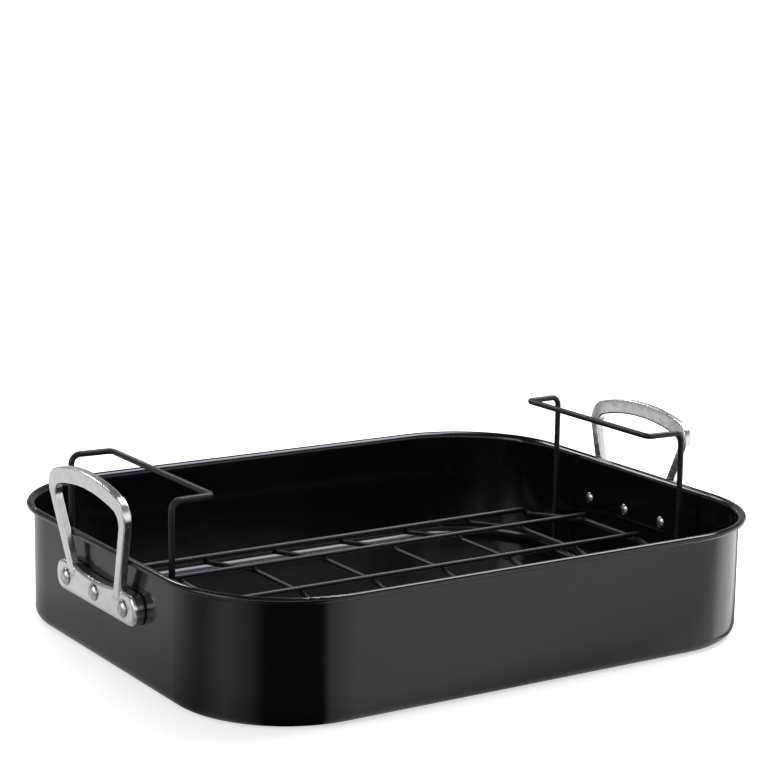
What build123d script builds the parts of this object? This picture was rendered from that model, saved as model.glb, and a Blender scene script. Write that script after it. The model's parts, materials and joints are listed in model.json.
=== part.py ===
from build123d import *
import math
import os

# A roasting pan with a wire rack that lifts out of it, in millimetres.
# +X runs along the pan to its right end, -Y to its front, +Z up.
# The origin is the middle of the pan's underside.

# Pan: one pressed sheet with a rolled rim
pan_length = 420.0            # over the rolled rim
pan_width = 345.4             # over the rolled rim
pan_height = 80.2             # underside to the top of the rim
sheet = 1.2                   # thickness of the sheet
rim_overhang = 4.8            # how far the rim stands out from the wall
rim_bead_radius = 2.1         # outside of the rolled edge
rim_neck = 1.4                # straight wall that the roll leaves under its bead
wall_corner_radius = 77.0     # outside of the wall, seen from above
bottom_radius = 7.8           # outside of the bend between floor and wall

# Pan handles: one casting each, with a riveted plate and a loop
handle_drop = 30.7            # rim top down to the line of rivets
plate_height = 20.0
plate_thickness = 8.1
plate_end_margin = 15.0       # outer rivet to the end of the plate
plate_corner_radius = 9.0
plate_hollow = 2.6            # dip of the plate's top edge between the legs
plate_edge_radius = 1.6
loop_lean = 5.0               # degrees away from the wall
loop_wall_gap = 3.6           # wall to the loop's back, at the loop's root
loop_root_depth = 3.6         # how deep the legs reach into the plate
loop_thickness = 5.5
loop_rise = 46.6              # rim top up to the crown of the loop
loop_leg_width = 7.2
loop_bar_height = 10.3
loop_crown_radius = 159.0     # upper edge of the bar
loop_root_inset = 18.5        # end of the plate to the leg's outer edge
loop_spread = 20.2            # degrees by which each leg turns outwards
loop_corner_radius = 14.0
loop_window_radius = 8.0
loop_edge_radius = 1.4

# Rivets
rivet_spacing = 40.5
rivet_shank_diameter = 5.0
rivet_hole_clearance = 0.05   # all round the shank
rivet_head_diameter = 10.6
rivet_head_height = 3.4
rivet_dimple_diameter = 5.2
rivet_dimple_depth = 0.5
rivet_tail_diameter = 8.2     # the head inside the pan
rivet_tail_height = 1.8

# Rack: welded round wire
frame_wire = 4.0              # outer frame and handle hoops
grid_wire = 3.5               # long wires and cross wires
weld_gap = 0.05               # between wires that are welded together
rack_side_room = 66.7         # wall to the rack's side
rack_stand_height = 29.1      # pan floor to the centre of the frame's sides
ridge_half_spacing = 31.0     # middle of the rack to either long wire
ridge_rise = 10.4             # centre of the frame's sides to the long wires' centres
ridge_bend_radius = 14.0
grid_overhang = 1.5           # wire ends past the centre of what they are welded to
cross_wire_count = 6
frame_corner_radius = 4.5
frame_dip_run = 6.0           # length over which the sides dip to the ends' level
frame_dip_radius = 4.0
hoop_side_inset = 28.0        # frame's side down to the hoop's leg, along Y
hoop_rise = 42.1              # rim top up to the top of the rack's handles
hoop_arm = 28.0               # how far the arms reach inwards
hoop_arm_taper = 1.5          # how much nearer the middle each arm ends
hoop_bend_radius = 6.0
hoop_bar_radius = 4.0
hoop_foot_radius = 8.0
foot_rest_gap = 0.3           # under the rack's feet
foot_side_gap = 0.35          # between the feet and the bend of the floor

# Worked out from the sizes above
wall_half_length = pan_length / 2 - rim_overhang
wall_half_width = pan_width / 2 - rim_overhang
inner_bottom_radius = bottom_radius - sheet
inner_half_length = wall_half_length - sheet
inner_half_width = wall_half_width - sheet
rivet_height = pan_height - handle_drop
plate_half_length = rivet_spacing + plate_end_margin
plate_top = rivet_height + plate_height / 2
plate_face = wall_half_length + plate_thickness
frame_side_y = inner_half_width - rack_side_room - frame_wire / 2
frame_side_z = sheet + rack_stand_height
ridge_z = frame_side_z + ridge_rise
hoop_x = inner_half_length - inner_bottom_radius - foot_side_gap - frame_wire / 2
hoop_y = frame_side_y - hoop_side_inset
hoop_foot_z = sheet + foot_rest_gap + frame_wire / 2
hoop_top_z = pan_height + hoop_rise - frame_wire / 2
frame_end_x = hoop_x - frame_wire - weld_gap


def rounded_path(half_length, half_width, radius):
    """Closed rounded outline on the XY plane, centred on the origin."""
    corners = [(half_length, -half_width), (half_length, half_width)]
    corners += [(-half_length, half_width), (-half_length, -half_width)]
    outline = Wire(Polyline(*[(x, y, 0) for x, y in corners], close=True))
    return outline.fillet_2d(radius, outline.vertices())


def wall_section():
    """Section of the floor's bend, the wall and the rolled rim, at the middle of the front."""
    shoulder = rim_overhang - rim_bead_radius + sheet
    bead_x = rim_overhang - rim_bead_radius
    bead_z = pan_height - rim_bead_radius
    neck_turn = math.radians(45)
    neck_x = bead_x - rim_bead_radius * math.cos(neck_turn)
    neck_z = bead_z - rim_bead_radius * math.sin(neck_turn)
    bend = bottom_radius * math.sin(neck_turn)
    inner_bend = inner_bottom_radius * math.sin(neck_turn)
    turn = shoulder * math.cos(neck_turn)
    outside_bend = ThreePointArc(
        (-bottom_radius, 0), (bend - bottom_radius, bottom_radius - bend), (0, bottom_radius)
    )
    outside = Line((0, bottom_radius), (0, neck_z - rim_neck))
    neck = TangentArc((0, neck_z - rim_neck), (neck_x, neck_z), tangent=(0, 1))
    bead = ThreePointArc((neck_x, neck_z), (rim_overhang, bead_z), (bead_x, pan_height))
    over = ThreePointArc(
        (bead_x, pan_height),
        (bead_x - turn, pan_height - shoulder + turn),
        (-sheet, pan_height - shoulder),
    )
    inside = Line((-sheet, pan_height - shoulder), (-sheet, bottom_radius))
    inside_bend = ThreePointArc(
        (-sheet, bottom_radius),
        (inner_bend - bottom_radius, bottom_radius - inner_bend),
        (-bottom_radius, sheet),
    )
    edge = Line((-bottom_radius, sheet), (-bottom_radius, 0))
    outline = outside_bend + outside + neck + bead + over + inside + inside_bend + edge
    section_plane = Plane(origin=(0, -wall_half_width, 0), x_dir=(0, -1, 0), z_dir=(-1, 0, 0))
    return section_plane * make_face(outline)


def rivet_places(side):
    """Name and Y of each rivet of one handle; side is 1 on the right and -1 on the left."""
    end = "right" if side > 0 else "left"
    rows = (("front", -rivet_spacing), ("middle", 0.0), ("rear", rivet_spacing))
    return [(f"{end}_rivet_{row}", y) for row, y in rows]


def across_wall(side, x, y):
    """A plane at a rivet, facing outwards through the end wall."""
    return Plane(origin=(side * x, y, rivet_height), x_dir=(0, 1, 0), z_dir=(side, 0, 0))


def rivet_hole(side, y):
    """Cutter for one rivet's hole through the wall and the handle's plate."""
    radius = rivet_shank_diameter / 2 + rivet_hole_clearance
    depth = sheet + plate_thickness
    start = across_wall(side, inner_half_length, y)
    return extrude(start * Circle(radius), depth)


def pan_shell():
    """The pressed pan: floor, walls and rolled rim in one sheet, pierced for the rivets."""
    path = rounded_path(wall_half_length, wall_half_width, wall_corner_radius)
    floor = Face(
        rounded_path(
            wall_half_length - bottom_radius,
            wall_half_width - bottom_radius,
            wall_corner_radius - bottom_radius,
        )
    )
    shell = sweep(wall_section(), path) + extrude(floor, sheet, dir=(0, 0, 1))
    for side in (-1, 1):
        for _, y in rivet_places(side):
            shell -= rivet_hole(side, y)
    return shell


def leg_wedge(inset, bottom, top):
    """The loop's outline before its crown: two leg edges that spread upwards."""
    spread = math.tan(math.radians(loop_spread))
    step = inset / math.cos(math.radians(loop_spread))
    root = plate_half_length - loop_root_inset - step
    low = root + bottom * spread
    high = root + top * spread
    return make_face(Polyline((-low, bottom), (low, bottom), (high, top), (-high, top), close=True))


def loop_outline(leg_inset, crown_inset, corner_radius, crown, bottom):
    """Leg edges under a round crown, with the two upper corners rounded."""
    circle = Pos(0, crown - loop_crown_radius) * Circle(loop_crown_radius - crown_inset)
    outline = leg_wedge(leg_inset, bottom, crown) & circle
    corners = outline.vertices().sort_by(Axis.Y)[-2:]
    return fillet(corners, corner_radius)


def handle_loop():
    """The right handle's loop, leaning away from the wall, its legs ending inside the plate."""
    lean = math.radians(loop_lean)
    root = Plane(
        origin=(wall_half_length + loop_wall_gap, 0, plate_top),
        x_dir=(0, 1, 0),
        z_dir=(math.cos(lean), 0, -math.sin(lean)),
    )
    crown = (pan_height + loop_rise - plate_top) / math.cos(lean)
    bottom = -loop_root_depth
    outer = loop_outline(0, 0, loop_corner_radius, crown, bottom)
    window = loop_outline(loop_leg_width, loop_bar_height, loop_window_radius, crown, bottom)
    loop = extrude(outer - window, loop_thickness)
    faces = loop.faces().sort_by(Axis.Z)
    return root * fillet(faces[0].edges() + faces[-1].edges(), loop_edge_radius)


def handle_plate():
    """The right handle's plate, flat against the wall, its outer edges rounded."""
    back = Plane(origin=(wall_half_length, 0, rivet_height), x_dir=(0, 1, 0), z_dir=(1, 0, 0))
    outline = RectangleRounded(2 * plate_half_length, plate_height, plate_corner_radius)
    reach = plate_half_length - loop_root_inset - loop_leg_width
    hollow_radius = (reach**2 + plate_hollow**2) / (2 * plate_hollow)
    hollow = Pos(0, plate_height / 2 - plate_hollow + hollow_radius) * Circle(hollow_radius)
    plate = extrude(outline - hollow, plate_thickness)
    face = plate.faces().sort_by(Axis.Z)[-1]
    return back * fillet(face.edges(), plate_edge_radius)


def pan_handle(side):
    """One pan handle, cast in one piece; side is 1 on the right and -1 on the left."""
    handle = handle_plate() + handle_loop()
    for _, y in rivet_places(1):
        handle -= rivet_hole(1, y)
    if side < 0:
        handle = mirror(handle, Plane.YZ)
    return handle


def dome(diameter, height):
    """A low dome on the XY plane, bulging along +Z."""
    radius = ((diameter / 2) ** 2 + height**2) / (2 * height)
    ball = Pos(0, 0, height - radius) * Sphere(radius)
    return split(ball, Plane.XY, keep=Keep.TOP)


def rivet(side, y):
    """One rivet through wall and plate, with a dimpled head outside and a dome inside."""
    shank_length = sheet + plate_thickness
    shank = across_wall(side, inner_half_length, y) * extrude(
        Circle(rivet_shank_diameter / 2), shank_length
    )
    dimple_radius = ((rivet_dimple_diameter / 2) ** 2 + rivet_dimple_depth**2) / (
        2 * rivet_dimple_depth
    )
    dimple_lift = rivet_head_height - rivet_dimple_depth + dimple_radius
    head = dome(rivet_head_diameter, rivet_head_height)
    head -= Pos(0, 0, dimple_lift) * Sphere(dimple_radius)
    tail = mirror(dome(rivet_tail_diameter, rivet_tail_height), Plane.XY)
    solid = shank + across_wall(side, plate_face, y) * head
    return solid + across_wall(side, inner_half_length, y) * tail


def wire(points, radii, diameter, close=False):
    """A round wire along straight runs that are joined by arcs, one radius for each bend."""
    path = FilletPolyline(*points, radius=radii, close=close)
    section = Plane(origin=path @ 0, z_dir=path % 0) * Circle(diameter / 2)
    return sweep(section, path)


def sloping_under(diameter):
    """Height at the ridge and slope, in radians, of a wire under the grid's long wires."""
    ridge_reach = (grid_wire + diameter) / 2 + weld_gap
    side_reach = (frame_wire + diameter) / 2 + weld_gap
    run = frame_side_y - ridge_half_spacing
    fall = ridge_z - ridge_reach - frame_side_z
    slope = math.atan2(fall, run) + math.asin(side_reach / math.hypot(run, fall))
    return ridge_z - ridge_reach, slope


def rack_frame_wire():
    """The rack's closed outer frame; its sides dip at the corners to the ends' level."""
    _, slope = sloping_under(grid_wire)
    ridge = ridge_z - (grid_wire + frame_wire) / 2 - weld_gap
    corner = ridge - (frame_side_y - ridge_half_spacing) * math.tan(slope)
    side_x = frame_end_x - frame_dip_run
    half = [
        (side_x, -frame_side_y, frame_side_z),
        (frame_end_x, -frame_side_y, corner),
        (frame_end_x, -ridge_half_spacing, ridge),
        (frame_end_x, ridge_half_spacing, ridge),
        (frame_end_x, frame_side_y, corner),
        (side_x, frame_side_y, frame_side_z),
    ]
    other = [(-x, -y, z) for x, y, z in half]
    bends = [
        frame_dip_radius,
        frame_corner_radius,
        ridge_bend_radius,
        ridge_bend_radius,
        frame_corner_radius,
        frame_dip_radius,
    ]
    return wire(half + other, bends + bends, frame_wire, close=True)


def rack_long_wire(side):
    """One of the two straight wires that form the rack's ridge; side is 1 at the rear."""
    end = frame_end_x + grid_overhang
    start = Plane(origin=(-end, side * ridge_half_spacing, ridge_z), z_dir=(1, 0, 0))
    return extrude(start * Circle(grid_wire / 2), 2 * end)


def rack_cross_wire(x):
    """One bent cross wire, under the long wires and the frame's sides."""
    ridge, slope = sloping_under(grid_wire)
    end_y = frame_side_y + grid_overhang
    end_z = ridge - (end_y - ridge_half_spacing) * math.tan(slope)
    points = [
        (x, -end_y, end_z),
        (x, -ridge_half_spacing, ridge),
        (x, ridge_half_spacing, ridge),
        (x, end_y, end_z),
    ]
    return wire(points, [ridge_bend_radius, ridge_bend_radius], grid_wire)


def rack_handle(side):
    """One rack handle: a closed hoop with a foot bar, two legs, two arms and a bar to hold."""
    bar_x = hoop_x - hoop_arm
    bar_y = hoop_y - hoop_arm_taper
    points = [
        (side * hoop_x, -hoop_y, hoop_foot_z),
        (side * hoop_x, hoop_y, hoop_foot_z),
        (side * hoop_x, hoop_y, hoop_top_z),
        (side * bar_x, bar_y, hoop_top_z),
        (side * bar_x, -bar_y, hoop_top_z),
        (side * hoop_x, -hoop_y, hoop_top_z),
    ]
    bends = [
        hoop_foot_radius,
        hoop_foot_radius,
        hoop_bend_radius,
        hoop_bar_radius,
        hoop_bar_radius,
        hoop_bend_radius,
    ]
    return wire(points, bends, frame_wire, close=True)


def cross_wire_places():
    """X of each cross wire, evenly spaced between the frame's two ends."""
    pitch = 2 * frame_end_x / (cross_wire_count + 1)
    return [-frame_end_x + pitch * (index + 1) for index in range(cross_wire_count)]


def all_nodes():
    """Every separate piece under the name of its node."""
    nodes = {"pan_shell": pan_shell()}
    for end, side in (("left", -1), ("right", 1)):
        nodes[f"{end}_handle"] = pan_handle(side)
        nodes[f"rack_{end}_handle"] = rack_handle(side)
        for name, y in rivet_places(side):
            nodes[name] = rivet(side, y)
    nodes["rack_frame_wire"] = rack_frame_wire()
    nodes["rack_long_wire_front"] = rack_long_wire(-1)
    nodes["rack_long_wire_rear"] = rack_long_wire(1)
    for number, x in enumerate(cross_wire_places(), start=1):
        nodes[f"rack_cross_wire_{number}"] = rack_cross_wire(x)
    return nodes


os.makedirs("parts", exist_ok=True)
for name, shape in all_nodes().items():
    export_step(shape, f"parts/{name}.step")
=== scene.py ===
"""Dresses a roasting pan and its lift-out rack, and sets them on a pale studio floor."""
import json
import math

import bpy
from mathutils import Matrix, Vector

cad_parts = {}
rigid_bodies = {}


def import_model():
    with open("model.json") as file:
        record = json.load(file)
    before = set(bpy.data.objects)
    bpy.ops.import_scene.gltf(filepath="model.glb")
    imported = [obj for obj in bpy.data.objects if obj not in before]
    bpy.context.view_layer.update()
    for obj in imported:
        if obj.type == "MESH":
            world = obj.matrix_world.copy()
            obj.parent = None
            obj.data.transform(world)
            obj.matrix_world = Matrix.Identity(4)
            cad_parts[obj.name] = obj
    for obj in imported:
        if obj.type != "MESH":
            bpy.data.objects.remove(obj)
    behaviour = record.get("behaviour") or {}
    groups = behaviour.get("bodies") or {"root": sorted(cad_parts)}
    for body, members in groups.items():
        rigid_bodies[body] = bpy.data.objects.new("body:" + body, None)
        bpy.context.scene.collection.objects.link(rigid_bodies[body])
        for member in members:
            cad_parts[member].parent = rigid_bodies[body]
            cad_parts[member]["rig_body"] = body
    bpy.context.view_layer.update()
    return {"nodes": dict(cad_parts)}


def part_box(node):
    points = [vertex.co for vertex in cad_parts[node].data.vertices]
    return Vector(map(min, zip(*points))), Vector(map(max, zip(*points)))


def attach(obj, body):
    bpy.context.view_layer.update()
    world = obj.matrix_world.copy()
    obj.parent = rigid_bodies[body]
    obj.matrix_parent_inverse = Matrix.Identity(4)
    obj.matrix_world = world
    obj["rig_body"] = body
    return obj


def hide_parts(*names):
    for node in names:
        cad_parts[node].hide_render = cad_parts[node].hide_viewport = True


bl_info = {
    "name": "Roasting pan with rack",
    "version": (1, 0, 0),
    "blender": (4, 5, 0),
    "location": "View3D > Sidebar > Roasting pan",
    "description": "Finishes a coated roasting pan, its cast handles and its wire rack",
    "category": "Object",
}

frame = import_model()
MM = 0.001

# Most of a noise's values lie in this span.
NOISE_SPAN = (0.3, 0.7)

# Edges that the arcs of the handle's outlines are drawn with.
CROWN_STEPS = 40
CORNER_STEPS = 14
PLATE_CORNER_STEPS = 10
HOLLOW_STEPS = 24

# Share of the plate's height that the loop's legs reach down into it.
FOOT_SHARE = 0.3

# Heights that differ by less are the same.
SAME = 1e-6

# Each soft box: its place, what it is turned to, its size and its watts.
SOFT_BOXES = {
    "overhead_softbox": ((0.75, 0.1, 1.3), (0, 0, 0), (1.0, 1.0), 23),
    "back_softbox": ((-0.14, 1.2, 1.03), (0, 0, 0.05), (0.55, 0.28), 4.5),
    "left_softbox": ((-1.5, 0.1, 0.8), (0, 0, 0.05), (0.9, 0.9), 5),
}


# Shared helpers

def linear(hex_colour, alpha=1.0):
    """An sRGB colour such as #1A1B1D as linear values."""
    channels = [int(hex_colour[i:i + 2], 16) / 255 for i in (1, 3, 5)]
    flat = [c / 12.92 if c <= 0.04045 else ((c + 0.055) / 1.055) ** 2.4 for c in channels]
    return (*flat, alpha)


def add_node(tree, kind, settings=None, links=None):
    """Adds a node: lower-case settings are its properties, the others its sockets' values."""
    node = tree.nodes.new(kind)
    for key, value in (settings or {}).items():
        if key == "stops":
            elements = node.color_ramp.elements
            while len(elements) < len(value):
                elements.new(1.0)
            for stop, (place, colour) in zip(elements, value):
                stop.position, stop.color = place, colour
        elif isinstance(key, str) and key == key.lower():
            setattr(node, key, value)
        else:
            node.inputs[key].default_value = value
    for key, source in (links or {}).items():
        tree.links.new(source, node.inputs[key])
    return node


def noise(tree, place, size, detail, **settings):
    """Noise with features of this size."""
    settings.update({"Scale": 1 / size, "Detail": detail})
    return add_node(tree, "ShaderNodeTexNoise", settings, {"Vector": place}).outputs["Fac"]


def ramp(tree, value, stops):
    """Colours that a value runs through."""
    node = add_node(tree, "ShaderNodeValToRGB", {"stops": stops}, {"Fac": value})
    return node.outputs["Color"]


def spread(tree, value, low, high, span=NOISE_SPAN):
    """Spreads the span in which a value lies over the range from low to high."""
    node = add_node(
        tree, "ShaderNodeMapRange",
        {"From Min": span[0], "From Max": span[1], "To Min": low, "To Max": high},
        {"Value": value})
    return node.outputs["Result"]


def calculate(tree, operation, *terms):
    """The result of an operation on two terms, each a number or a node's output."""
    numbers = {i: term for i, term in enumerate(terms) if isinstance(term, (int, float))}
    outputs = {i: term for i, term in enumerate(terms) if i not in numbers}
    node = add_node(tree, "ShaderNodeMath", {"operation": operation, **numbers}, outputs)
    return node.outputs["Value"]


def bump(tree, height, strength, depth, under=None):
    """A bump of this depth, laid over another one where that is given."""
    links = {"Height": height}
    if under:
        links["Normal"] = under
    node = add_node(tree, "ShaderNodeBump", {"Strength": strength, "Distance": depth}, links)
    return node.outputs["Normal"]


def grey(level):
    """A grey of this brightness."""
    return (level, level, level, 1)


def fan_stops(cards):
    """Stops of a ramp for the cards of a fan, each a grey at its degrees round it."""
    return [(0.5 + turned / 360, grey(level)) for turned, level in cards]


def blank_material(name):
    """A new material with an empty node tree."""
    material = bpy.data.materials.new(name)
    material.use_nodes = True
    material.node_tree.nodes.clear()
    return material


def wear(piece, material):
    """Gives a piece one material all over."""
    piece.data.materials.clear()
    piece.data.materials.append(material)


def dress(node, material):
    """Gives a node of the frame its material, in the node's own slots."""
    for slot in frame["nodes"][node].material_slots:
        slot.material = material


def nothing_selected():
    """Leaves object mode with nothing selected."""
    if bpy.context.object and bpy.context.object.mode != "OBJECT":
        bpy.ops.object.mode_set(mode="OBJECT")
    bpy.ops.object.select_all(action="DESELECT")


def pick(*pieces):
    """Selects these pieces and makes the first one active."""
    nothing_selected()
    for piece in pieces:
        piece.select_set(True)
    bpy.context.view_layer.objects.active = pieces[0]


def join(name, pieces):
    """Joins pieces into one object of that name."""
    pick(*pieces)
    if len(pieces) > 1:
        bpy.ops.object.join()
    joined = bpy.context.object
    joined.name = joined.data.name = name
    return joined


def copy_of(piece, name):
    """A copy of a piece with a mesh of its own."""
    pick(piece)
    bpy.ops.object.duplicate(linked=False)
    twin = bpy.context.object
    twin.name = twin.data.name = name
    return twin


def put(piece, matrix):
    """Moves a piece, and applies the move to its mesh."""
    pick(piece)
    piece.matrix_world = matrix
    bpy.context.view_layer.update()
    bpy.ops.object.transform_apply(location=True, rotation=True, scale=True)


def outward(piece):
    """Merges what touches and turns all faces outwards."""
    pick(piece)
    bpy.ops.object.mode_set(mode="EDIT")
    bpy.ops.mesh.select_all(action="SELECT")
    bpy.ops.mesh.remove_doubles(threshold=0.01 * MM)
    bpy.ops.mesh.normals_make_consistent(inside=False)
    bpy.ops.object.mode_set(mode="OBJECT")


def add_modifier(piece, kind, **settings):
    """Adds a modifier with its settings and applies it."""
    pick(piece)
    bpy.ops.object.modifier_add(type=kind)
    modifier = piece.modifiers[-1]
    for key, value in settings.items():
        setattr(modifier, key, value)
    bpy.ops.object.modifier_apply(modifier=modifier.name)


def start_outline(name, x, y, z=0.0):
    """Opens a new mesh that holds one vertex, from which an outline is drawn."""
    nothing_selected()
    bpy.ops.mesh.primitive_plane_add(size=MM)
    bpy.context.object.name = bpy.context.object.data.name = name
    bpy.context.tool_settings.mesh_select_mode = (True, False, False)
    bpy.ops.object.mode_set(mode="EDIT")
    bpy.ops.mesh.select_all(action="SELECT")
    bpy.ops.mesh.merge(type="CENTER")
    bpy.ops.transform.translate(value=(x, y, z))
    return bpy.context.object


def run(x, y, z=0.0):
    """Draws a straight edge by this much from the outline's last vertex."""
    bpy.ops.mesh.extrude_vertices_move(TRANSFORM_OT_translate={"value": (x, y, z)})


def turn(centre, degrees, steps, axis=(0, 0, 1)):
    """Draws an arc from the outline's last vertex, counter-clockwise for positive degrees."""
    back = tuple(-a for a in axis)
    bpy.ops.mesh.spin(steps=steps, angle=math.radians(degrees), center=centre, axis=back)


def fill_outline():
    """Closes the outline and fills it with one face."""
    bpy.ops.mesh.select_all(action="SELECT")
    bpy.ops.mesh.remove_doubles(threshold=0.001 * MM)
    bpy.ops.mesh.select_all(action="SELECT")
    bpy.ops.mesh.edge_face_add()


def thicken(depth):
    """Extrudes the filled outline along Z."""
    bpy.ops.mesh.select_all(action="SELECT")
    bpy.ops.mesh.extrude_region_move(TRANSFORM_OT_translate={"value": (0, 0, depth)})
    bpy.ops.object.mode_set(mode="OBJECT")


def select_edges(piece, wanted):
    """Selects the edges for whose two ends the test holds, and opens edit mode."""
    pick(piece)
    mesh = piece.data
    for part in (mesh.polygons, mesh.edges, mesh.vertices):
        part.foreach_set("select", [False] * len(part))
    places = [vertex.co for vertex in mesh.vertices]
    for edge in mesh.edges:
        edge.select = all(wanted(places[i]) for i in edge.vertices)
    for edge in mesh.edges:
        if edge.select:
            for i in edge.vertices:
                mesh.vertices[i].select = True
    bpy.context.tool_settings.mesh_select_mode = (False, True, False)
    bpy.ops.object.mode_set(mode="EDIT")


# Settings

class ROASTER_PG_pan(bpy.types.PropertyGroup):
    coating: bpy.props.FloatVectorProperty(
        name="Coating", description="Colour of the baked non-stick coating", subtype="COLOR",
        size=4, min=0, max=1, default=linear("#0C0C0E"))
    coating_fleck: bpy.props.FloatVectorProperty(
        name="Coating fleck", description="Colour of the fine flecks in the coating",
        subtype="COLOR", size=4, min=0, max=1, default=linear("#17181B"))
    coating_roughness: bpy.props.FloatProperty(
        name="Coating roughness", description="How soft reflections in the coating are",
        subtype="FACTOR", min=0, max=1, default=0.13)
    fleck_size: bpy.props.FloatProperty(
        name="Fleck size", description="Spacing of the flecks", unit="LENGTH",
        min=0.1 * MM, default=0.9 * MM)
    ripple_size: bpy.props.FloatProperty(
        name="Ripple size", description="Length of the slow waves that pressing leaves",
        unit="LENGTH", min=5 * MM, default=85 * MM)


class ROASTER_PG_handles(bpy.types.PropertyGroup):
    metal: bpy.props.FloatVectorProperty(
        name="Metal", description="Colour of the cast aluminium", subtype="COLOR",
        size=4, min=0, max=1, default=linear("#F8F8FA"))
    metal_dull: bpy.props.FloatVectorProperty(
        name="Dull metal", description="Colour of its duller patches", subtype="COLOR",
        size=4, min=0, max=1, default=linear("#EEEFF2"))
    metal_roughness: bpy.props.FloatProperty(
        name="Metal roughness", description="How soft reflections in the metal are",
        subtype="FACTOR", min=0, max=1, default=0.2)
    plate_length: bpy.props.FloatProperty(
        name="Plate length", description="Length of the riveted plate", unit="LENGTH",
        default=111 * MM)
    plate_height: bpy.props.FloatProperty(
        name="Plate height", description="Height of the riveted plate", unit="LENGTH",
        default=20 * MM)
    plate_thickness: bpy.props.FloatProperty(
        name="Plate thickness", description="Thickness of the riveted plate", unit="LENGTH",
        default=8.1 * MM)
    plate_corner: bpy.props.FloatProperty(
        name="Plate corner", description="Radius of the plate's corners", unit="LENGTH",
        default=9 * MM)
    plate_hollow: bpy.props.FloatProperty(
        name="Plate hollow", description="Dip of the plate's top edge", unit="LENGTH",
        default=2.6 * MM)
    plate_bevel: bpy.props.FloatProperty(
        name="Plate bevel", description="Rounding of the plate's outer edges", unit="LENGTH",
        default=2.6 * MM)
    loop_thickness: bpy.props.FloatProperty(
        name="Loop thickness", description="Thickness of the loop", unit="LENGTH",
        default=5.5 * MM)
    loop_gap: bpy.props.FloatProperty(
        name="Loop gap", description="Wall to the loop's back", unit="LENGTH",
        default=3.6 * MM)
    loop_rise: bpy.props.FloatProperty(
        name="Loop rise", description="Plate's top up to the crown of the loop",
        unit="LENGTH", default=67.2 * MM)
    loop_lean: bpy.props.FloatProperty(
        name="Loop lean", description="Degrees that the loop leans outwards", default=5.0)
    loop_spread: bpy.props.FloatProperty(
        name="Loop spread", description="Degrees that each leg leans sideways", default=20.2)
    leg_inset: bpy.props.FloatProperty(
        name="Leg inset", description="End of the plate to the leg's outer edge",
        unit="LENGTH", default=18.5 * MM)
    leg_width: bpy.props.FloatProperty(
        name="Leg width", description="Width of each leg", unit="LENGTH", default=7.2 * MM)
    bar_height: bpy.props.FloatProperty(
        name="Bar height", description="Height of the bar to hold", unit="LENGTH",
        default=10.3 * MM)
    crown_radius: bpy.props.FloatProperty(
        name="Crown radius", description="Radius of the bar's upper edge", unit="LENGTH",
        default=159 * MM)
    corner_outside: bpy.props.FloatProperty(
        name="Corner outside", description="Outer radius of the loop's corners",
        unit="LENGTH", default=14 * MM)
    corner_inside: bpy.props.FloatProperty(
        name="Corner inside", description="Inner radius of the loop's corners",
        unit="LENGTH", default=8 * MM)
    loop_bevel: bpy.props.FloatProperty(
        name="Loop bevel", description="Rounding along the loop's edges", unit="LENGTH",
        default=2.6 * MM)
    casting_grain: bpy.props.FloatProperty(
        name="Casting grain", description="Size of the grain left by the mould",
        unit="LENGTH", min=0.1 * MM, default=0.7 * MM)


class ROASTER_PG_rivets(bpy.types.PropertyGroup):
    metal: bpy.props.FloatVectorProperty(
        name="Metal", description="Colour of the rivets", subtype="COLOR",
        size=4, min=0, max=1, default=linear("#E4E8E6"))
    head: bpy.props.FloatProperty(
        name="Head diameter", description="Across the outer head", unit="LENGTH",
        default=10.6 * MM)
    head_height: bpy.props.FloatProperty(
        name="Head height", description="Height of the outer head", unit="LENGTH",
        default=3.4 * MM)
    rim: bpy.props.FloatProperty(
        name="Rim", description="Height of the straight rim under the outer head",
        unit="LENGTH", default=1.0 * MM)
    tail_rim: bpy.props.FloatProperty(
        name="Tail rim", description="Height of the straight rim under the inner head",
        unit="LENGTH", default=0.3 * MM)
    dimple: bpy.props.FloatProperty(
        name="Dimple diameter", description="Across the dimple that the tool leaves",
        unit="LENGTH", default=4.4 * MM)
    dimple_depth: bpy.props.FloatProperty(
        name="Dimple depth", description="Depth of the dimple", unit="LENGTH",
        default=0.42 * MM)
    shank: bpy.props.FloatProperty(
        name="Shank diameter", description="Across the rivet between its heads",
        unit="LENGTH", default=5 * MM)
    tail: bpy.props.FloatProperty(
        name="Tail diameter", description="Across the head inside the pan", unit="LENGTH",
        default=8.2 * MM)
    tail_height: bpy.props.FloatProperty(
        name="Tail height", description="Height of the head inside the pan",
        unit="LENGTH", default=1.8 * MM)


class ROASTER_PG_rack(bpy.types.PropertyGroup):
    coating: bpy.props.FloatVectorProperty(
        name="Coating", description="Colour of the coated wire", subtype="COLOR",
        size=4, min=0, max=1, default=linear("#101113"))
    coating_roughness: bpy.props.FloatProperty(
        name="Coating roughness", description="How soft reflections in the wire are",
        subtype="FACTOR", min=0, max=1, default=0.4)
    weld_width: bpy.props.FloatProperty(
        name="Weld width", description="Across the bead where wires are welded",
        unit="LENGTH", default=4.6 * MM)
    weld_height: bpy.props.FloatProperty(
        name="Weld height", description="Height of that bead between the wires",
        unit="LENGTH", default=1.7 * MM)
    wire: bpy.props.FloatProperty(
        name="Wire", description="Diameter of the rack's long and cross wires",
        unit="LENGTH", default=3.5 * MM)
    frame_wire: bpy.props.FloatProperty(
        name="Frame wire", description="Diameter of the rack's frame and handles",
        unit="LENGTH", default=4 * MM)


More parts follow.
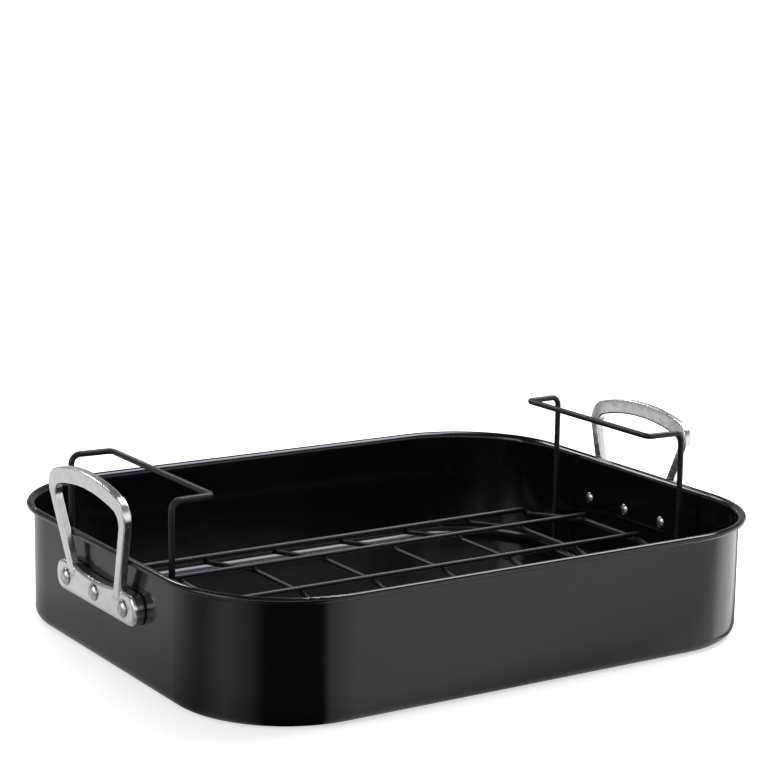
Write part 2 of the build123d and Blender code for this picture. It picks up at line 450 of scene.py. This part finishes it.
class ROASTER_PG_studio(bpy.types.PropertyGroup):
    floor: bpy.props.FloatVectorProperty(
        name="Floor", description="Colour of the floor", subtype="COLOR",
        size=4, min=0, max=1, default=linear("#F1F1F2"))
    floor_lift: bpy.props.FloatProperty(
        name="Floor lift", description="Light added to the floor as the camera sees it",
        subtype="FACTOR", min=0, max=1, default=0.62)
    gloss_lift: bpy.props.FloatProperty(
        name="Gloss lift", description="Share of plain white in the floor as gloss shows it",
        subtype="FACTOR", min=0, max=1, default=0.45)
    card_place: bpy.props.FloatVectorProperty(
        name="Black card", description="Where the fan of the black card begins",
        unit="LENGTH", size=2, default=(-147 * MM, -124.5 * MM))
    card_turn: bpy.props.FloatProperty(
        name="Card turn", description="Degrees to which the middle of the black card points",
        default=-114.0)
    bright_card_place: bpy.props.FloatVectorProperty(
        name="Bright card", description="Where the fan of the bright card begins",
        unit="LENGTH", size=2, default=(160 * MM, -172 * MM))
    right_glow: bpy.props.FloatProperty(
        name="Right glow", description="Brightness in gloss of the card right of the pan",
        min=1, max=5, default=2.7)
    side_grey: bpy.props.FloatProperty(
        name="Side grey", description="Brightness in gloss of the floor beside the left end",
        subtype="FACTOR", min=0, max=1, default=0.6)
    ceiling_grey: bpy.props.FloatProperty(
        name="Ceiling grey", description="Brightness in gloss of the room high up",
        subtype="FACTOR", min=0, max=1, default=0.15)
    back_grey: bpy.props.FloatProperty(
        name="Back grey", description="Brightness in gloss of the wall behind the pan",
        subtype="FACTOR", min=0, max=1, default=0.3)
    lamp_power: bpy.props.FloatProperty(
        name="Lamp power", description="Share of the soft lamps' full power",
        min=0, default=1.0)
    camera_yaw: bpy.props.FloatProperty(
        name="Camera yaw", description="Degrees from the pan's depth to the line of sight",
        default=32.7175)
    camera_pitch: bpy.props.FloatProperty(
        name="Camera pitch", description="Degrees that the camera looks down",
        default=11.170)
    camera_roll: bpy.props.FloatProperty(
        name="Camera roll", description="Degrees that the camera is turned about its sight",
        default=0.81)
    camera_place: bpy.props.FloatVectorProperty(
        name="Camera place", description="Where the camera stands", subtype="TRANSLATION",
        unit="LENGTH", size=3, default=(-793.75 * MM, -1233.72 * MM, 449.52 * MM))
    focal_pixels: bpy.props.FloatProperty(
        name="Focal length", description="Focal length in pixels of the picture",
        default=2268.24)
    picture_pixels: bpy.props.FloatProperty(
        name="Picture width", description="Width of the picture in pixels", default=770.0)


# Materials

def nonstick_coating(look):
    """Non-stick coating, sprayed on pressed steel and baked: deep black with a satin gloss,
    fine flecks, a faint orange peel and the slow waves of pressed sheet in its reflections."""
    cloud_size, fleck_reach = 28 * MM, 0.34
    peel_size, peel_depth, ripple_depth = 1.4 * MM, 0.006 * MM, 0.55 * MM
    material = blank_material("baked_nonstick_coating")
    tree = material.node_tree
    place = add_node(tree, "ShaderNodeTexCoord").outputs["Object"]
    # Flecks are about 0.3 mm in such a coating and are drawn three times as coarse to show.
    flecks = add_node(
        tree, "ShaderNodeTexVoronoi",
        {"feature": "F1", "Scale": 1 / look.fleck_size, "Randomness": 1.0}, {"Vector": place})
    fleck_mask = ramp(
        tree, flecks.outputs["Distance"], [(0.0, grey(1)), (fleck_reach, grey(0))])
    clouds = noise(tree, place, cloud_size, 3.0)
    fleck_share = calculate(tree, "MULTIPLY", fleck_mask, clouds)
    colour = add_node(
        tree, "ShaderNodeMix",
        {"data_type": "RGBA", 6: tuple(look.coating), 7: tuple(look.coating_fleck)},
        {0: fleck_share})
    roughness = spread(
        tree, clouds, look.coating_roughness - 0.03, look.coating_roughness + 0.05)
    peel = bump(tree, noise(tree, place, peel_size, 2.0), 0.5, peel_depth)
    ripple = bump(tree, noise(tree, place, look.ripple_size, 1.0), 1.0, ripple_depth, peel)
    shader = add_node(
        tree, "ShaderNodeBsdfPrincipled", {"IOR": 1.58, "Specular Tint": linear("#ECF0FF")},
        {"Base Color": colour.outputs[2], "Roughness": roughness, "Normal": ripple})
    add_node(tree, "ShaderNodeOutputMaterial", links={"Surface": shader.outputs["BSDF"]})
    return material


def coated_wire(look):
    """Drawn steel wire, dipped in black non-stick coating: a satin gloss that runs along the
    wire as a soft line, with a faintly uneven skin."""
    cloud_size, skin_size, skin_depth = 11 * MM, 0.9 * MM, 0.02 * MM
    material = blank_material("black_coated_wire")
    tree = material.node_tree
    place = add_node(tree, "ShaderNodeTexCoord").outputs["Object"]
    clouds = noise(tree, place, cloud_size, 4.0)
    colour = ramp(tree, clouds, [(0.35, tuple(look.coating)), (0.75, linear("#1C1D20"))])
    roughness = spread(
        tree, clouds, look.coating_roughness - 0.05, look.coating_roughness + 0.08)
    # The dipped skin gathers in specks.
    skin = bump(tree, noise(tree, place, skin_size, 2.0), 0.6, skin_depth)
    shader = add_node(
        tree, "ShaderNodeBsdfPrincipled", {"IOR": 1.5, "Specular Tint": linear("#ECF0FF")},
        {"Base Color": colour, "Roughness": roughness, "Normal": skin})
    add_node(tree, "ShaderNodeOutputMaterial", links={"Surface": shader.outputs["BSDF"]})
    return material


def cast_aluminium(look):
    """Aluminium, cast and then buffed: bright satin metal with cloudy patches, fine buffing
    lines along the handle and the small unevenness of a casting in its reflections."""
    patch_size, line_size, line_stretch = 9 * MM, 0.4 * MM, 0.06
    grain_depth, line_depth = 0.05 * MM, 0.02 * MM
    swell_size, swell_depth = 7 * MM, 0.25 * MM
    shade_reach, shade_span = 2.2 * MM, (0.55, 0.97)
    material = blank_material("buffed_cast_aluminium")
    tree = material.node_tree
    place = add_node(tree, "ShaderNodeTexCoord").outputs["Object"]
    patches = noise(tree, place, patch_size, 5.0, Roughness=0.6)
    colour = ramp(tree, patches, [(0.3, tuple(look.metal_dull)), (0.62, tuple(look.metal))])
    # Buffing lines run along the handle.
    stretched = add_node(
        tree, "ShaderNodeMapping",
        {"vector_type": "POINT", "Scale": (1.0, line_stretch, 1.0)}, {"Vector": place})
    lines = noise(tree, stretched.outputs["Vector"], line_size, 2.0)
    cloudy = spread(tree, patches, look.metal_roughness + 0.03, look.metal_roughness - 0.05)
    roughness = calculate(tree, "ADD", cloudy, calculate(tree, "MULTIPLY", lines, 0.1))
    grain = bump(tree, noise(tree, place, look.casting_grain, 3.0), 0.15, grain_depth)
    buffed = bump(tree, lines, 0.25, line_depth, grain)
    swell = bump(tree, noise(tree, place, swell_size, 1.0), 0.8, swell_depth, buffed)
    # Painted shade: the colour darkens towards a dark grey where the AO node finds the metal
    # hemmed in, round the rivets and where the legs meet the plate.
    corners = add_node(
        tree, "ShaderNodeAmbientOcclusion", {"samples": 6, "Distance": shade_reach})
    unshaded = spread(tree, corners.outputs["AO"], 0.1, 1.0, shade_span)
    painted_shade = add_node(
        tree, "ShaderNodeMix", {"data_type": "RGBA", 6: linear("#3A3B3D")},
        {0: unshaded, 7: colour})
    shader = add_node(
        tree, "ShaderNodeBsdfPrincipled", {"Metallic": 1.0},
        {"Base Color": painted_shade.outputs[2], "Roughness": roughness, "Normal": swell})
    add_node(tree, "ShaderNodeOutputMaterial", links={"Surface": shader.outputs["BSDF"]})
    return material


def rivet_aluminium(look):
    """Aluminium, cold-formed by the riveting tool: duller than the castings, pressed into
    faint dents."""
    dent_size, dent_depth = 2.2 * MM, 0.1 * MM
    material = blank_material("cold_formed_aluminium")
    tree = material.node_tree
    place = add_node(tree, "ShaderNodeTexCoord").outputs["Object"]
    dents = noise(tree, place, dent_size, 3.0)
    colour = ramp(tree, dents, [(0.3, linear("#C8CCCA")), (0.7, tuple(look.metal))])
    roughness = spread(tree, dents, 0.34, 0.22)
    shader = add_node(
        tree, "ShaderNodeBsdfPrincipled", {"Metallic": 1.0},
        {"Base Color": colour, "Roughness": roughness,
         "Normal": bump(tree, dents, 0.5, dent_depth)})
    add_node(tree, "ShaderNodeOutputMaterial", links={"Surface": shader.outputs["BSDF"]})
    return material


def painted_dark_reflections(tree, look, place):
    """Share of darkness of the cards left of the pan and in front of it: a black one at the
    corner and grey ones beside it, each at its degrees from the black card's middle."""
    # Painted reflection: only gloss sees these cards, so they only darken what the pan reflects
    # and block no light.
    fan = add_node(
        tree, "ShaderNodeMapping",
        {"vector_type": "TEXTURE", "Location": (*look.card_place, 0.0),
         "Rotation": (0, 0, math.radians(look.card_turn))}, {"Vector": place})
    around = add_node(
        tree, "ShaderNodeTexGradient", {"gradient_type": "RADIAL"},
        {"Vector": fan.outputs["Vector"]})
    side = look.side_grey
    shades = (
        (-150, 1.18 * side), (-130, 1.08 * side), (-123, 1.03 * side), (-114, 0.85 * side),
        (-96, 0.5 * side), (-83, 0.35 * side), (-59, side), (-38, 0.5 * side), (-26, 0.0),
        (26, 0.0), (33, 0.6), (54, 1.0), (82, 1.0), (97, 0.7), (104, 1.0), (165, 0.9))
    return ramp(
        tree, around.outputs["Fac"],
        fan_stops((turned, 1 - shade) for turned, shade in shades))


def painted_bright_reflections(tree, look, place):
    """Brightness of the card right of the pan, where plain white is 1, and share of
    darkness of the dim card behind it."""
    fan = add_node(
        tree, "ShaderNodeMapping",
        {"vector_type": "TEXTURE", "Location": (*look.bright_card_place, 0.0)},
        {"Vector": place})
    around = add_node(
        tree, "ShaderNodeTexGradient", {"gradient_type": "RADIAL"},
        {"Vector": fan.outputs["Vector"]}).outputs["Fac"]
    # Painted reflection: the bright card glows above white though it is no lamp, and only the
    # camera and gloss see that glow, so it paints a bright band into the pan's reflection; only
    # gloss sees the dim card.
    plain = 1 / look.right_glow
    lit = ramp(tree, around, fan_stops(((-24, plain), (-4, 1.0), (27, 1.0), (35, plain))))
    dim = ramp(tree, around, fan_stops(((29, 0.0), (36, 0.8), (50, 0.8), (62, 0.0))))
    return calculate(tree, "MULTIPLY", lit, look.right_glow), dim


def studio_floor(look):
    """Matt white card. Straight from the camera and in gloss it shows as the white
    background, near the object it keeps the object's shadow, and only gloss shows the
    brighter and darker cards that lie on it."""
    fade_start, fade_end = 0.55, 1.3
    material = blank_material("white_card_floor")
    tree = material.node_tree
    path = add_node(tree, "ShaderNodeLightPath")
    camera_ray, glossy_ray = path.outputs["Is Camera Ray"], path.outputs["Is Glossy Ray"]
    near = add_node(
        tree, "ShaderNodeBsdfPrincipled",
        {"Base Color": tuple(look.floor), "Roughness": 0.7, "Emission Color": grey(1)},
        {"Emission Strength": calculate(tree, "MULTIPLY", camera_ray, look.floor_lift)})
    place = add_node(tree, "ShaderNodeTexCoord").outputs["Object"]
    away = add_node(tree, "ShaderNodeVectorMath", {"operation": "LENGTH"}, {0: place})
    fade = add_node(
        tree, "ShaderNodeMapRange",
        {"interpolation_type": "SMOOTHSTEP", "From Min": fade_start, "From Max": fade_end},
        {"Value": away.outputs["Value"]})
    lifted = calculate(
        tree, "MAXIMUM", fade.outputs["Result"],
        calculate(tree, "MULTIPLY", glossy_ray, look.gloss_lift))
    share = calculate(
        tree, "MULTIPLY", lifted, calculate(tree, "MAXIMUM", camera_ray, glossy_ray))
    glow, dim = painted_bright_reflections(tree, look, place)
    far = add_node(tree, "ShaderNodeEmission", {"Color": grey(1)}, {"Strength": glow})
    card = add_node(
        tree, "ShaderNodeMixShader",
        links={0: share, 1: near.outputs["BSDF"], 2: far.outputs["Emission"]})
    # Painted reflection: the dark cards are mixed in for glossy rays alone, and the glow above
    # white for camera and glossy rays alone.
    darkest = calculate(tree, "MAXIMUM", painted_dark_reflections(tree, look, place), dim)
    dark = add_node(tree, "ShaderNodeBsdfDiffuse", {"Color": linear("#1E1E21")})
    shader = add_node(
        tree, "ShaderNodeMixShader",
        links={0: calculate(tree, "MULTIPLY", darkest, glossy_ray),
               1: card.outputs["Shader"], 2: dark.outputs["BSDF"]})
    add_node(tree, "ShaderNodeOutputMaterial", links={"Surface": shader.outputs["Shader"]})
    return material


def studio_world(look):
    """A soft grey room. The camera sees it as white, and gloss shows a white wall in front, a
    grey one behind and a dark ceiling."""
    wall_top, ceiling_start = 0.28, 0.55
    front_grey, turn_span = 0.95, (-0.3, 0.3)
    world = bpy.data.worlds.new("studio_room")
    world.use_nodes = True
    tree = world.node_tree
    tree.nodes.clear()
    path = add_node(tree, "ShaderNodeLightPath")
    room = add_node(
        tree, "ShaderNodeBackground", {"Color": linear("#D8DADD"), "Strength": 0.45})
    way = add_node(tree, "ShaderNodeTexCoord").outputs["Generated"]
    axes = add_node(tree, "ShaderNodeSeparateXYZ", links={"Vector": way})
    walls = ramp(
        tree, axes.outputs["Z"],
        [(wall_top, grey(1)), (ceiling_start, grey(look.ceiling_grey))])
    depth = spread(tree, axes.outputs["Y"], front_grey, look.back_grey, turn_span)
    gloss = add_node(tree, "ShaderNodeBackground", links={"Color": walls, "Strength": depth})
    in_gloss = add_node(
        tree, "ShaderNodeMixShader",
        links={0: path.outputs["Is Glossy Ray"], 1: room.outputs["Background"],
               2: gloss.outputs["Background"]})
    white = add_node(tree, "ShaderNodeBackground", {"Color": grey(1), "Strength": 1.0})
    shown = add_node(
        tree, "ShaderNodeMixShader",
        links={0: path.outputs["Is Camera Ray"], 1: in_gloss.outputs["Shader"],
               2: white.outputs["Background"]})
    add_node(tree, "ShaderNodeOutputWorld", links={"Surface": shown.outputs["Shader"]})
    return world


# Pieces

def leg_corner(root, slant, crown_centre, crown_radius, radius):
    """Where a corner arc joins a slanted leg to a round crown: the arc's centre, and the
    leg's length up to the arc."""
    along = Vector((math.sin(slant), math.cos(slant)))
    base = Vector((root - radius * math.cos(slant), radius * math.sin(slant)))
    away = base - Vector((0.0, crown_centre))
    half = away.dot(along)
    length = -half + math.sqrt(half ** 2 - away.length_squared + (crown_radius - radius) ** 2)
    return base + length * along, length


def draw_arch(root, slant, crown_centre, crown_radius, radius, bottom, steps):
    """Draws one side of the loop from the foot of the right leg, over the crown, to the foot
    of the left leg. Negative steps draw it the other way round."""
    centre, length = leg_corner(root, slant, crown_centre, crown_radius, radius)
    rise = length - bottom / math.cos(slant)
    lift = Vector((math.sin(slant), math.cos(slant))) * rise
    lean = math.degrees(slant)
    corner = math.degrees(math.atan2(centre.y - crown_centre, centre.x))
    way = 1 if steps > 0 else -1
    run(way * lift.x, lift.y)
    first = (way * centre.x, centre.y, 0)
    last = (-way * centre.x, centre.y, 0)
    turn(first, way * (corner + lean), CORNER_STEPS)
    turn((0, crown_centre, 0), way * (180 - 2 * corner), abs(steps))
    turn(last, way * (corner + lean), CORNER_STEPS)
    run(way * lift.x, -lift.y)


def cast_loop(look):
    """The loop of a handle, flat on the ground: one outline, thickened, with bevelled edges."""
    slant = math.radians(look.loop_spread)
    crown = look.loop_rise / math.cos(math.radians(look.loop_lean))
    crown_centre = crown - look.crown_radius
    bottom = -look.plate_height * FOOT_SHARE
    root = look.plate_length / 2 - look.leg_inset
    inner_root = root - look.leg_width / math.cos(slant)
    low = root + bottom * math.tan(slant)
    inner_low = inner_root + bottom * math.tan(slant)
    loop = start_outline("handle_loop", low, bottom)
    draw_arch(
        root, slant, crown_centre, look.crown_radius, look.corner_outside, bottom, CROWN_STEPS)
    run(low - inner_low, 0)
    inner_radius = look.crown_radius - look.bar_height
    draw_arch(
        inner_root, slant, crown_centre, inner_radius, look.corner_inside, bottom,
        -CROWN_STEPS)
    fill_outline()
    thicken(look.loop_thickness)
    faces = (0.0, look.loop_thickness)
    select_edges(loop, lambda at: min(abs(at.z - face) for face in faces) < SAME)
    bpy.ops.mesh.bevel(offset=look.loop_bevel, segments=5, profile=0.5, clamp_overlap=True)
    outward(loop)
    return loop


def cast_plate(look):
    """The riveted plate of a handle, flat on the ground, its outer edges rounded."""
    half = look.plate_length / 2
    high = look.plate_height / 2
    radius = look.plate_corner
    reach = half - look.leg_inset - look.leg_width
    arc = (reach ** 2 + look.plate_hollow ** 2) / (2 * look.plate_hollow)
    swing = 2 * math.degrees(math.asin(reach / arc))
    flat = half - radius
    plate = start_outline("handle_plate", -flat, -high)
    run(2 * flat, 0)
    turn((flat, radius - high, 0), 90, PLATE_CORNER_STEPS)
    run(0, 2 * (high - radius))
    turn((flat, high - radius, 0), 90, PLATE_CORNER_STEPS)
    run(reach - flat, 0)
    turn((0, high - look.plate_hollow + arc, 0), -swing, HOLLOW_STEPS)
    run(reach - flat, 0)
    turn((-flat, high - radius, 0), 90, PLATE_CORNER_STEPS)
    run(0, 2 * (radius - high))
    turn((-flat, radius - high, 0), 90, PLATE_CORNER_STEPS)
    fill_outline()
    thicken(look.plate_thickness)
    select_edges(plate, lambda at: abs(at.z - look.plate_thickness) < SAME)
    bpy.ops.mesh.bevel(offset=look.plate_bevel, segments=4, profile=0.5, clamp_overlap=True)
    outward(plate)
    return plate


def standing(x, y, z, side=1, lean=0.0):
    """Stands a flat piece up against an end wall: its X along the wall, its Z out."""
    out = Vector((side * math.cos(lean), 0, -math.sin(lean)))
    along = Vector((0, 1, 0))
    up = out.cross(along)
    matrix = Matrix((along, up, out)).transposed().to_4x4()
    return Matrix.Translation((x, y, z)) @ matrix


def cap(diameter, height):
    """Radius of a cap's sphere, and the degrees from its middle to its edge."""
    radius = ((diameter / 2) ** 2 + height ** 2) / (2 * height)
    return radius, math.degrees(math.asin(diameter / 2 / radius))


def formed_rivet(look, grip):
    """One rivet, standing on the ground: a dimpled head, a shank as long as the grip and a
    domed tail, drawn as one outline and spun round."""
    dome, dome_swing = cap(look.head, look.head_height - look.rim)
    dimple, dimple_swing = cap(look.dimple, look.dimple_depth)
    dome_centre = look.head_height - dome
    lip_swing = math.degrees(math.asin(look.dimple / 2 / dome))
    lip = dome_centre + dome * math.cos(math.radians(lip_swing))
    pit = lip - look.dimple_depth
    tail, tail_swing = cap(look.tail, look.tail_height - look.tail_rim)
    rivet = start_outline("formed_rivet", 0, 0, pit)
    turn((0, 0, pit + dimple), -dimple_swing, 4, (0, 1, 0))
    turn((0, 0, dome_centre), dome_swing - lip_swing, 6, (0, 1, 0))
    run(0, 0, -look.rim)
    run((look.shank - look.head) / 2, 0)
    run(0, 0, -grip)
    run((look.tail - look.shank) / 2, 0)
    run(0, 0, -look.tail_rim)
    turn((0, 0, tail - grip - look.tail_height), tail_swing, 6, (0, 1, 0))
    bpy.ops.mesh.select_all(action="SELECT")
    turn((0, 0, 0), 360, 40)
    outward(rivet)
    add_modifier(rivet, "SUBSURF", levels=1, render_levels=1)
    bpy.ops.object.shade_smooth()
    return rivet


def weld_bead(look):
    """One bead of weld under the coating: a small squashed lump, a little uneven."""
    nothing_selected()
    bpy.ops.mesh.primitive_ico_sphere_add(subdivisions=3, radius=look.weld_width / 2)
    bead = bpy.context.object
    bpy.ops.object.mode_set(mode="EDIT")
    bpy.ops.mesh.select_all(action="SELECT")
    bpy.ops.transform.resize(value=(1, 1, look.weld_height / look.weld_width))
    bpy.ops.transform.vertex_random(offset=0.12 * MM, uniform=0.2, normal=0.8, seed=4)
    bpy.ops.mesh.vertices_smooth(factor=0.5, repeat=2)
    bpy.ops.object.mode_set(mode="OBJECT")
    bpy.ops.object.shade_smooth()
    return bead


def welds(look):
    """The place and lean of every weld of the rack, worked out from the wires' boxes."""
    low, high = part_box("rack_long_wire_front")
    ridge_y = -(low.y + high.y) / 2
    under = low.z
    frame_low, frame_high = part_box("rack_frame_wire")
    side_y = frame_high.y - look.frame_wire / 2
    end_x = frame_high.x - look.frame_wire / 2
    places = []
    for node in frame["nodes"]:
        if node.startswith("rack_cross_wire"):
            low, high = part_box(node)
            x = (low.x + high.x) / 2
            fall = (high.z - low.z - look.wire) / (high.y - ridge_y)
            side_z = high.z - (side_y - ridge_y) * fall
            for way in (1, -1):
                lean = Matrix.Rotation(-way * math.atan(fall), 4, "X")
                places.append(Matrix.Translation((x, way * ridge_y, under)))
                places.append(Matrix.Translation((x, way * side_y, side_z)) @ lean)
    low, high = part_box("rack_right_handle")
    leg_y = high.y - look.frame_wire / 2
    leg_z = frame_high.z - look.frame_wire / 2 - (leg_y - ridge_y) * fall
    upright = Matrix.Rotation(math.radians(90), 4, "Y")
    for end in (1, -1):
        for way in (1, -1):
            places.append(Matrix.Translation((end * end_x, way * ridge_y, under)))
            places.append(
                Matrix.Translation((end * frame_high.x, way * leg_y, leg_z)) @ upright)
    return places


class ROASTER_OT_pan(bpy.types.Operator):
    """Gives the pressed pan its baked non-stick coating"""
    bl_idname = "roaster.pan"
    bl_label = "Coat the pan"

    def execute(self, context):
        dress("pan_shell", nonstick_coating(context.scene.roaster_pan))
        return {"FINISHED"}


class ROASTER_OT_handles(bpy.types.Operator):
    """Casts the two riveted handles, with their feet blended into their plates"""
    bl_idname = "roaster.handles"
    bl_label = "Cast the handles"

    def execute(self, context):
        look = context.scene.roaster_handles
        low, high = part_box("right_handle")
        loop = cast_loop(look)
        put(loop, standing(low.x + look.loop_gap, 0, low.z + look.plate_height,
                           lean=math.radians(look.loop_lean)))
        plate = cast_plate(look)
        put(plate, standing(low.x, 0, low.z + look.plate_height / 2))
        right = join("cast_handle_right", [loop, plate])
        add_modifier(right, "REMESH", mode="VOXEL", voxel_size=0.5 * MM)
        add_modifier(right, "SMOOTH", factor=0.5, iterations=5)
        bpy.ops.object.shade_smooth()
        left = copy_of(right, "cast_handle_left")
        put(left, Matrix.Scale(-1, 4, (1, 0, 0)))
        outward(left)
        metal = cast_aluminium(look)
        for end, handle in (("right", right), ("left", left)):
            wear(handle, metal)
            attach(handle, "pan")
            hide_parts(f"{end}_handle")
        return {"FINISHED"}


class ROASTER_OT_rivets(bpy.types.Operator):
    """Forms one rivet and sets six of them through the handles and walls"""
    bl_idname = "roaster.rivets"
    bl_label = "Set the rivets"

    def execute(self, context):
        look = context.scene.roaster_rivets
        metal = rivet_aluminium(look)
        low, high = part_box("right_rivet_middle")
        face = high.x - look.head_height
        pattern = formed_rivet(look, face - low.x - look.tail_height)
        for side, end in ((1, "right"), (-1, "left")):
            for row in ("front", "middle", "rear"):
                low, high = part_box(f"{end}_rivet_{row}")
                rivet = copy_of(pattern, f"formed_rivet_{end}_{row}")
                middle = (low + high) / 2
                put(rivet, standing(side * face, middle.y, middle.z, side))
                wear(rivet, metal)
                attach(rivet, "pan")
                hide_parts(f"{end}_rivet_{row}")
        bpy.data.objects.remove(pattern)
        return {"FINISHED"}


class ROASTER_OT_rack(bpy.types.Operator):
    """Coats the rack's wires and the weld beads between them"""
    bl_idname = "roaster.rack"
    bl_label = "Coat the rack"

    def execute(self, context):
        look = context.scene.roaster_rack
        coating = coated_wire(look)
        for node, piece in frame["nodes"].items():
            if piece.get("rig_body") == "rack":
                dress(node, coating)
        pattern = weld_bead(look)
        beads = []
        for number, place in enumerate(welds(look)):
            bead = copy_of(pattern, f"weld_bead_{number}")
            put(bead, place @ Matrix.Rotation(number * 0.7, 4, "Z"))
            beads.append(bead)
        bpy.data.objects.remove(pattern)
        joined = join("rack_weld_beads", beads)
        wear(joined, coating)
        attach(joined, "rack")
        return {"FINISHED"}


def soft_lamp(name, place, aim, size, power):
    """A soft box: a rectangular area lamp at a place, turned to what it lights."""
    nothing_selected()
    bpy.ops.object.light_add(type="AREA", location=place)
    lamp = bpy.context.object
    lamp.name = lamp.data.name = name
    lamp.data.shape = "RECTANGLE"
    lamp.data.size, lamp.data.size_y = size
    lamp.data.energy = power
    lamp.visible_camera = False
    lamp.rotation_euler = (Vector(aim) - Vector(place)).to_track_quat("-Z", "Y").to_euler()


class ROASTER_OT_stage(bpy.types.Operator):
    """Lays the floor, hangs the soft lamps and stands the camera"""
    bl_idname = "roaster.stage"
    bl_label = "Set the stage"

    def execute(self, context):
        look = context.scene.roaster_studio
        nothing_selected()
        bpy.ops.mesh.primitive_plane_add(size=40.0)
        floor = bpy.context.object
        floor.name = floor.data.name = "studio_floor"
        wear(floor, studio_floor(look))
        for name, (place, aim, size, watts) in SOFT_BOXES.items():
            soft_lamp(name, place, aim, size, watts * look.lamp_power)
        context.scene.world = studio_world(look)
        context.scene.view_settings.view_transform = "Standard"
        bpy.ops.object.camera_add()
        camera = context.object
        camera.name = camera.data.name = "picture_camera"
        camera.data.sensor_width = 36.0
        camera.data.lens = look.focal_pixels / look.picture_pixels * camera.data.sensor_width
        camera.data.clip_start = 0.01
        camera.data.clip_end = 100.0
        turned = Matrix.Rotation(-math.radians(look.camera_yaw), 4, "Z")
        turned @= Matrix.Rotation(math.radians(90 - look.camera_pitch), 4, "X")
        turned @= Matrix.Rotation(math.radians(look.camera_roll), 4, "Z")
        camera.matrix_world = Matrix.Translation(look.camera_place) @ turned
        context.scene.camera = camera
        return {"FINISHED"}


class ROASTER_PT_panel(bpy.types.Panel):
    bl_label = "Roasting pan"
    bl_idname = "ROASTER_PT_panel"
    bl_space_type = "VIEW_3D"
    bl_region_type = "UI"
    bl_category = "Roasting pan"

    def draw(self, context):
        for name, (_, operator) in GROUPS.items():
            box = self.layout.box()
            settings = getattr(context.scene, name)
            for prop in settings.bl_rna.properties:
                if prop.identifier not in ("rna_type", "name"):
                    box.prop(settings, prop.identifier)
            box.operator(operator.bl_idname)


GROUPS = {
    "roaster_studio": (ROASTER_PG_studio, ROASTER_OT_stage),
    "roaster_pan": (ROASTER_PG_pan, ROASTER_OT_pan),
    "roaster_handles": (ROASTER_PG_handles, ROASTER_OT_handles),
    "roaster_rivets": (ROASTER_PG_rivets, ROASTER_OT_rivets),
    "roaster_rack": (ROASTER_PG_rack, ROASTER_OT_rack),
}


def register():
    for name, (settings, operator) in GROUPS.items():
        bpy.utils.register_class(settings)
        bpy.utils.register_class(operator)
        setattr(bpy.types.Scene, name, bpy.props.PointerProperty(type=settings))
    bpy.utils.register_class(ROASTER_PT_panel)


def unregister():
    bpy.utils.unregister_class(ROASTER_PT_panel)
    for name, (settings, operator) in GROUPS.items():
        delattr(bpy.types.Scene, name)
        bpy.utils.unregister_class(operator)
        bpy.utils.unregister_class(settings)


def main():
    register()
    bpy.ops.roaster.stage()
    bpy.ops.roaster.pan()
    bpy.ops.roaster.handles()
    bpy.ops.roaster.rivets()
    bpy.ops.roaster.rack()


if __name__ == "__main__":
    main()
